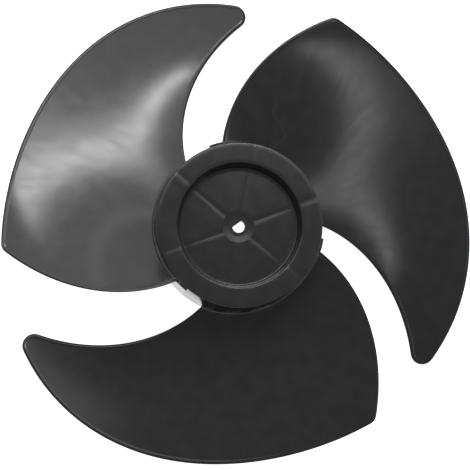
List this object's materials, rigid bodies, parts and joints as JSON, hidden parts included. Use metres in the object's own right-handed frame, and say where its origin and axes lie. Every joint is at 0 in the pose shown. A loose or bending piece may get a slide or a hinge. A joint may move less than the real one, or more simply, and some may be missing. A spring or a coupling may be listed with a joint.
{
  "type": "axial fan impeller",
  "caption": "One-piece moulded axial fan impeller: forward-swept blades on a hub with a round front recess, ribbed back and D-shaped shaft bore.",
  "frame": {"origin": "on the fan axis, at the rear end of the shaft boss", "axes": "+Z along the fan axis towards the front ring, the way the air leaves; the first blade's leading edge meets the hub 126 degrees from +X towards +Y; the impeller turns clockwise seen from +Z"},
  "size_m": [0.3889, 0.3889, 0.1073],
  "materials": {
    "moulding": "satin charcoal black, moulded"
  },
  "bodies": {
    "root": {"impeller": "moulding"}
  },
  "joints": []
}
